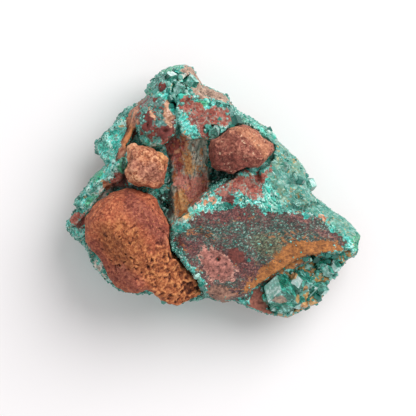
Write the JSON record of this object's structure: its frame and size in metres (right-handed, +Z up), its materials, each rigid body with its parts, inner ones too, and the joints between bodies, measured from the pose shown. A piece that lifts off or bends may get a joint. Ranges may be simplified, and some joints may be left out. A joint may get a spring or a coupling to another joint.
{
  "type": "dioptase specimen",
  "caption": "Loose mineral specimen: teal dioptase crystals on broken iron-stained rock, with rusty limonite lumps set in it. Lies on its broken back.",
  "frame": {"origin": "middle of the flat worn patch under the rock, which it rests on", "axes": "+X along the length towards the thin tip, +Y towards the peak, +Z up through the crystal side"},
  "size_m": [0.0588, 0.0503, 0.0249],
  "materials": {
    "matrix": "broken rock with a sugary teal crust, dark red and ochre iron stains, a dull grain with small bright crystal faces",
    "limonite": "dull earthy rust, pitted and spongy",
    "pale_limonite": "dull earthy orange, knobby",
    "red_limonite": "dull earthy red-brown, fine grained",
    "dioptase": "glassy teal, clear inside, with stepped bright faces"
  },
  "bodies": {
    "root": {"matrix_rock": "matrix", "porous_nodule": "limonite", "knobby_nodule": "pale_limonite", "angular_nodule": "red_limonite", "corner_crystals": "dioptase", "vug_crystals": "dioptase", "edge_crystal": "dioptase", "rosette_crystal": "dioptase", "peak_crystals": "dioptase"}
  },
  "joints": []
}
